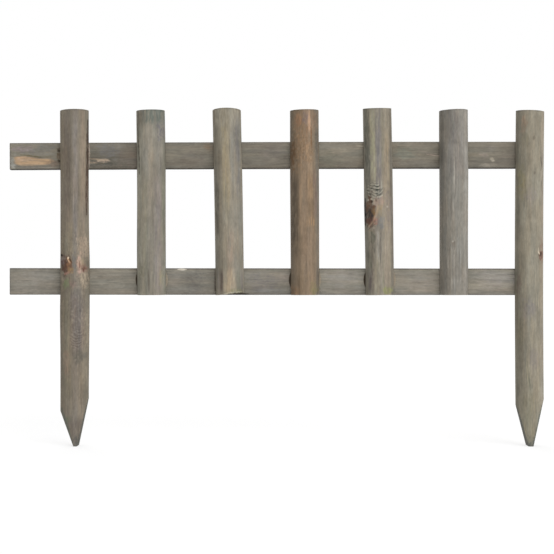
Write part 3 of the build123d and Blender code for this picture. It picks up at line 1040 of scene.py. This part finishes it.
def look_right_stake(s):
    s.cover((141, 135, 120))
    # Darker down the left side: partly the wood, partly painted shade on the side turned from the light
    s.band(-25, 10, (108, 105, 94), 0.6)
    s.band(-14, 12, (136, 129, 113), 0.5)
    s.band(8, 20, (144, 138, 124), 0.4)
    # Paler down the right edge: partly the wood, partly painted light on the side facing the light
    s.band(27, 6, (158, 148, 134), 0.5)
    s.patch(-13, 672, 14, 36, (150, 131, 112), 0.6, seed=1)
    s.patch(-6, 640, 12, 24, (128, 124, 107), 0.6, seed=2)
    s.patch(10, 640, 6, 8, (106, 100, 89), 0.6, seed=3)
    s.patch(10, 568, 6, 8, (110, 103, 92), 0.6, seed=4)
    s.seam(((24, 602), (25.8, 586), (24.6, 572)), 1.8, (94, 86, 75), 0.7, seed=5)
    s.seam(((27.4, 566), (26.4, 546), (27, 528)), 1.6, (100, 92, 80), 0.6, seed=6)
    s.patch(-16, 552, 16, 62, (134, 127, 99), 0.6, seed=7)
    s.patch(4, 520, 22, 34, (139, 132, 125), 0.5, seed=8)
    # A torn knot at the right edge
    s.patch(27, 410, 7, 44, (142, 119, 104), 0.6, seed=9)
    s.knot(25, 397, 8, 20, (112, 86, 74), 0.8, seed=10)
    s.seam(((20, 412), (20.5, 404), (23, 398)), 2.8, (208, 194, 172), 0.9, seed=11)
    s.patch(24.5, 399, 5, 9, (72, 55, 47), 0.9, seed=12, flecks=0.2)
    s.patch(-21, 338, 10, 50, (122, 108, 96), 0.5, seed=13)
    s.patch(0, 285, 24, 44, (136, 129, 124), 0.6, seed=14)
    s.patch(11, 182, 18, 50, (135, 128, 123), 0.5, seed=15)
    s.patch(-18, 240, 12, 70, (128, 124, 105), 0.5, seed=16)
    for at, colour in ((-4, (152, 148, 128)), (-1, (116, 117, 98)), (2.5, (150, 145, 127))):
        s.seam(((at - 3, 178), (at, 145), (at + 5, 105)), 1.8, colour, 0.6, seed=int(at) + 60)
    s.stripe(0, 28, 10, 110, (139, 132, 111), 0.5, seed=17)
    # Dark along the edges of the point and at its tip
    s.seam(((-27.5, 76), (-18, 40), (-9.5, 8)), 6.5, (96, 101, 96), 0.8, seed=18)
    s.seam(((27, 84), (18, 46), (9, 8)), 5.5, (96, 102, 96), 0.75, seed=19)
    s.patch(0, 0, 40, 28, (86, 90, 85), 0.8, 0.9, seed=20)


def look_upper_rail(s):
    s.cover((123, 118, 106))
    s.tone(-140, -30, 1.04)
    s.tone(28, 132, 0.76)
    s.tone(500, 610, 1.1)
    s.tone(340, 460, 0.98)
    s.tone(660, 780, 0.98)
    s.band(21, 16, (130, 123, 112), 0.45)
    s.band(-20, 22, (111, 105, 96), 0.45)
    # Painted shade along the bottom edge
    s.band(-27.5, 4, (76, 70, 63), 0.6)
    s.seam(((30, -138), (-30, -138)), 3.4, (88, 84, 77), 0.75, seed=34)
    # Left end: bare wood shows where the grey skin has come away
    s.patch(14, -108, 14, 46, (136, 126, 124), 0.8, seed=1)
    s.patch(12, -75, 20, 50, (121, 120, 114), 0.6, seed=2)
    s.patch(-12, -132, 26, 14, (148, 145, 136), 0.8, seed=3)
    s.bare(((-129, -16, -0.5), (-109, -19.8, -0.8), (-91, -19, -2.6), (-80, -18.6, -4.6), (-56, -16.6, -5.6),
            (-46, -13, -8)),
           (177, 149, 119), 0.9, seed=4)
    s.patch(-6, -110, 9, 34, (188, 160, 135), 0.6, seed=5)
    s.seam(((3, -116), (1.6, -100), (-0.6, -84), (-2.4, -68), (-1.4, -46)), 3.0, (98, 92, 72), 0.8, seed=6)
    s.patch(-14, -48, 18, 24, (122, 108, 95), 0.7, seed=7)
    s.seam(((-24, -120), (-24.5, -45)), 2.0, (136, 127, 119), 0.7, seed=8)
    s.patch(0, -34, 28, 12, (106, 92, 74), 0.7, seed=9)
    s.patch(12, -36, 6, 6, (62, 54, 43), 0.9, seed=10, flecks=0.2)
    s.patch(4, -37, 5, 5, (82, 70, 54), 0.7, seed=11)
    s.knot(-10, -36, 6, 7, (54, 46, 34), 0.95, seed=12)
    # Right of the left stake: two bare prongs that meet, and a pale line beside the stake's right edge
    s.seam(((-16.5, 42), (-14.6, 74)), 3.6, (102, 87, 67), 0.7, seed=35)
    s.seam(((-5, 24), (-7, 44), (-9.4, 60)), 3.6, (158, 141, 122), 0.85, seed=13)
    s.seam(((-14.5, 24), (-13, 44), (-10.6, 60)), 3.6, (152, 134, 116), 0.85, seed=14)
    s.seam(((-10.6, 47), (-9.8, 70)), 7.2, (184, 165, 145), 1.0, seed=15)
    s.seam(((28, 28.3), (-28, 28.3)), 2.2, (198, 181, 167), 0.9, seed=16)
    s.patch(10, 70, 26, 50, (112, 110, 108), 0.6, seed=17)
    s.patch(-19, 84, 19, 110, (88, 85, 77), 0.75, 0.6, seed=33)
    s.patch(-4, 112, 44, 44, (112, 102, 93), 0.5, seed=18)
    s.patch(17, 281, 12, 22, (128, 111, 93), 0.7, seed=19)
    s.patch(-6, 250, 30, 60, (114, 107, 98), 0.5, seed=20)
    s.patch(6, 410, 34, 60, (118, 110, 103), 0.5, seed=21)
    s.seam(((19.5, 588), (19, 606)), 2.0, (164, 157, 141), 0.8, seed=22)
    s.seam(((14, 580), (14, 604)), 1.6, (148, 140, 126), 0.6, seed=23)
    s.patch(-10, 530, 30, 50, (116, 114, 101), 0.6, seed=24)
    s.patch(4, 690, 26, 40, (116, 118, 107), 0.6, seed=25)
    s.seam(((2, 734), (-2.5, 766)), 2.2, (162, 149, 138), 0.75, seed=26)
    s.seam(((9, 716), (2, 758)), 1.6, (146, 136, 126), 0.6, seed=27)
    s.patch(-10, 873, 9, 9, (170, 162, 146), 0.9, seed=28, flecks=0.2)
    s.patch(-22, 862, 7, 34, (146, 138, 125), 0.7, seed=29)
    s.patch(0, 855, 12, 16, (142, 134, 125), 0.6, seed=30)
    s.patch(14, 870, 14, 16, (138, 131, 121), 0.5, seed=31)
    s.patch(-6, 905, 30, 50, (117, 110, 101), 0.5, seed=32)


def look_lower_rail(s):
    s.cover((132, 128, 117))
    s.tone(165, 300, 0.94)
    s.tone(510, 960, 1.15)
    s.band(-25, 6, (120, 115, 107), 0.6)
    s.tone(-150, -20, 0.935)
    s.band(14, 22, (137, 131, 121), 0.4)
    s.band(-20, 20, (124, 119, 111), 0.45)
    s.band(27.5, 4, (82, 76, 68), 0.7)
    s.patch(0, 206, 50, 26, (134, 129, 120), 0.6, seed=11)
    s.seam(((26, 214), (25.5, 231)), 4.2, (208, 202, 188), 0.95, seed=1)
    s.patch(0, -90, 44, 90, (139, 134, 126), 0.5, seed=2)
    s.patch(-8, 75, 36, 70, (130, 125, 114), 0.5, seed=3)
    s.patch(-2, 248, 46, 50, (112, 108, 101), 0.65, seed=4)
    s.patch(-6, 395, 38, 60, (120, 116, 113), 0.6, seed=5)
    s.patch(8, 442, 22, 32, (142, 133, 126), 0.5, seed=6)
    s.patch(6, 560, 34, 70, (146, 141, 134), 0.5, seed=7)
    s.patch(-4, 730, 30, 80, (142, 135, 127), 0.5, seed=8)
    s.patch(4, 880, 36, 70, (150, 142, 135), 0.5, seed=9)
    # Painted shadow in the gap at the second picket's left side
    s.seam(((27, 293.6), (-27, 293.2)), 4.8, (72, 64, 54), 0.85, seed=10)
    s.seam(((30, -138), (-30, -138)), 3.4, (94, 90, 83), 0.7, seed=13)
    # Painted shadow under the second picket's raised foot
    s.seam(((-27.6, 306), (-27, 330), (-26.4, 362)), 5.0, (46, 41, 34), 0.95, seed=12)


# Each upright, and how it strays from an even panel: shift and extra length in millimetres, angles in degrees
# A bulge is its side, its height, its reach and how far it stands out
# back, ends and cuts are the colours of the sawn back, the two ends and the point's sides
UPRIGHT = {"shift": 0.0, "extra": 0.0, "lean": 0.0, "tilt": 0.0, "rake": 0.0, "foot": 0.0, "point": None,
           "bow": 0.0, "bulges": (), "back": (156, 145, 126), "ends": (134, 125, 110), "cuts": (96, 95, 88)}
# A point is the tip's width and shift, then the slope and turn of its left and right sides
LEFT_POINT = (13.5, 2.5, (19.8, 12.0), (11.9, 2.0))
RIGHT_POINT = (16.7, -0.3, (14.0, 2.0), (12.8, 12.0))
UPRIGHTS = [
    dict(UPRIGHT, name="left_stake", extra=0.3, tilt=1.1, rake=1.5, point=LEFT_POINT, look=look_left_stake,
         bulges=((1, 310, 130, 2.0), (1, 385, 35, 0.6), (-1, 690, 80, 0.8), (-1, 270, 50, 0.9))),
    dict(UPRIGHT, name="picket_1", shift=2.0, extra=-0.2, lean=-0.4, tilt=0.7, rake=-1.0, bow=0.6,
         look=look_picket_1, bulges=((-1, 400, 90, 1.2), (1, 600, 90, 0.9))),
    dict(UPRIGHT, name="picket_2", shift=5.5, extra=2.0, lean=-1.0, tilt=-0.7, rake=5.0, foot=3.0, bow=0.7,
         look=look_picket_2),
    dict(UPRIGHT, name="picket_3", shift=6.5, extra=0.3, lean=-0.25, tilt=1.1, rake=-1.0, look=look_picket_3,
         bulges=((-1, 560, 90, 0.5), (1, 560, 250, 0.6))),
    dict(UPRIGHT, name="picket_4", shift=3.0, extra=3.6, lean=-0.9, rake=-4.0, bow=0.3, look=look_picket_4,
         bulges=((-1, 500, 60, 0.7), (1, 560, 160, 0.6))),
    dict(UPRIGHT, name="picket_5", shift=2.0, extra=0.5, lean=-0.15, tilt=2.1, bow=-0.3, look=look_picket_5,
         bulges=((-1, 670, 90, 0.8), (-1, 400, 80, 0.4), (1, 570, 80, 1.0))),
    dict(UPRIGHT, name="right_stake", shift=3.0, extra=-1.3, tilt=-2.1, rake=-1.0, point=RIGHT_POINT,
         bow=-2.2, look=look_right_stake),
]
for index, spec in enumerate(UPRIGHTS):
    make_upright(spec, index)

# The lower rail is scooped behind the first, third and fourth pickets
SCOOPS = [axis_x(k, LOWER_RAIL_Z + RAIL_HEIGHT / 2 + SCOOP_LIFT) for k in (1, 3, 4)]


# Nails above and below a rail's middle, and from its right end
NAIL_RISE = 11
NAIL_MARGIN = 9


def nail_places(rail_z, seed):
    """Two nails at each upright, as places along the rail and above its middle."""
    random = np.random.default_rng(seed)
    places = []
    for k in range(len(UPRIGHTS)):
        for part in (-1, 1):
            h = part * (NAIL_RISE + random.uniform(-3, 3))
            x = axis_x(k, rail_z + RAIL_HEIGHT / 2 + h) + random.uniform(-6, 6)
            places.append((min(x, RAIL_START_X + RAIL_LENGTH - NAIL_MARGIN), h))
    return places


UPPER_NAILS = nail_places(UPPER_RAIL_Z, 301)
LOWER_NAILS = nail_places(LOWER_RAIL_Z, 302)
make_rail("upper_rail", UPPER_RAIL_Z, rise=UPPER_RAIL_RISE, bow=0.85, look=look_upper_rail,
          ends=(126, 117, 102), back=(152, 143, 125), scoops=[], nails=UPPER_NAILS, seed=201)
make_rail("lower_rail", LOWER_RAIL_Z, rise=-0.05, bow=0.0, look=look_lower_rail,
          ends=(128, 120, 106), back=(155, 146, 129), scoops=SCOOPS, nails=LOWER_NAILS, seed=202)

NAIL_SIDES = 20
NAIL_DIMPLE = 0.02
NAIL_RINGS = ((3.5, 0.9), (3.5, 0.25), (3.1, 0.0), (1.6, 0.0))


def make_nails(name, rail_z, places):
    """Nail heads set flush in the rail's back, each of a few rings given by radius and depth."""
    verts, faces = [], []
    top = BACK_Y + RAIL_THICKNESS - SINK
    pairs = [(j, (j + 1) % NAIL_SIDES) for j in range(NAIL_SIDES)]
    for x, h in places:
        z = rail_z + RAIL_HEIGHT / 2 + h
        first = len(verts)
        for radius, depth in NAIL_RINGS:
            for j in range(NAIL_SIDES):
                angle = 2 * math.pi * j / NAIL_SIDES
                verts.append((x + radius * math.cos(angle), top - depth, z + radius * math.sin(angle)))
        inner = len(verts) - NAIL_SIDES
        for ring in range(first, inner, NAIL_SIDES):
            faces += [(ring + j, ring + j + NAIL_SIDES, ring + k + NAIL_SIDES, ring + k) for j, k in pairs]
        faces += [(inner + j, len(verts), inner + k) for j, k in pairs]
        faces.append(tuple(first + j for j in range(NAIL_SIDES)))
        verts.append((x, top - NAIL_DIMPLE, z))
    obj = make_object(name, verts, faces, {}, NAIL_STEEL)
    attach(obj, "root")


make_nails("upper_rail_nails", UPPER_RAIL_Z, UPPER_NAILS)
make_nails("lower_rail_nails", LOWER_RAIL_Z, LOWER_NAILS)


# How far the floor reaches each way, in metres
FLOOR_REACH = 400.0


def make_floor():
    """A wide pale floor that shows white to the camera, apart from the panel's shadow."""
    mesh = bpy.data.meshes.new("floor")
    corners = [(x * FLOOR_REACH, y * FLOOR_REACH, 0) for x, y in ((-1, -1), (1, -1), (1, 1), (-1, 1))]
    mesh.from_pydata(corners, [], [(0, 1, 2, 3)])
    material = bpy.data.materials.new("pale_floor")
    material.use_nodes = True
    n = Nodes(material.node_tree)
    seen = n.seen()
    grey = n.mix(seen, (0.75, 0.75, 0.75, 1), (0.4, 0.4, 0.4, 1))
    diffuse = n.add("ShaderNodeBsdfDiffuse", {"Color": grey})
    glow = n.add("ShaderNodeEmission", {"Color": (1, 1, 1, 1), "Strength": n.times(seen, 0.65)})
    both = n.add("ShaderNodeAddShader", {0: diffuse.outputs[0], 1: glow.outputs[0]})
    n.add("ShaderNodeOutputMaterial", {"Surface": both.outputs[0]})
    mesh.materials.append(material)
    obj = bpy.data.objects.new("floor", mesh)
    bpy.context.scene.collection.objects.link(obj)


# Light on the panel from all round, where 1 is the white that the camera sees
WORLD_LIGHT = 0.64


def make_world():
    """Even light from all sides, white behind the panel."""
    world = bpy.data.worlds.new("studio")
    world.use_nodes = True
    n = Nodes(world.node_tree)
    strength = n.plus(WORLD_LIGHT, n.times(n.seen(), 1 - WORLD_LIGHT))
    back = n.add("ShaderNodeBackground", {"Color": (1, 1, 1, 1), "Strength": strength})
    n.add("ShaderNodeOutputWorld", {"Surface": back.outputs[0]})
    bpy.context.scene.world = world


def make_sun(name, azimuth, elevation, softness, strength):
    """A soft distant lamp, placed by its angle to the right of the camera and above the floor."""
    a, e = math.radians(azimuth), math.radians(elevation)
    towards = Vector((math.sin(a) * math.cos(e), -math.cos(a) * math.cos(e), math.sin(e)))
    lamp = bpy.data.lights.new(name, "SUN")
    lamp.angle = math.radians(softness)
    lamp.energy = strength
    obj = bpy.data.objects.new(name, lamp)
    obj.rotation_euler = towards.to_track_quat("Z", "Y").to_euler()
    bpy.context.scene.collection.objects.link(obj)


make_floor()
make_world()
make_sun("key", azimuth=38, elevation=25, softness=50, strength=1.55)
make_sun("fill", azimuth=200, elevation=25, softness=60, strength=0.9)

camera = bpy.data.cameras.new("camera")
camera.lens = CAMERA_LENS
camera.sensor_width = CAMERA_SENSOR
camera_object = bpy.data.objects.new("camera", camera)
camera_object.location = Vector((CAMERA_X, BACK_Y - CAMERA_DISTANCE, CAMERA_Z)) * MM
camera_object.rotation_euler = (math.pi / 2, 0, 0)
bpy.context.scene.collection.objects.link(camera_object)
bpy.context.scene.camera = camera_object
bpy.context.scene.view_settings.view_transform = "Standard"
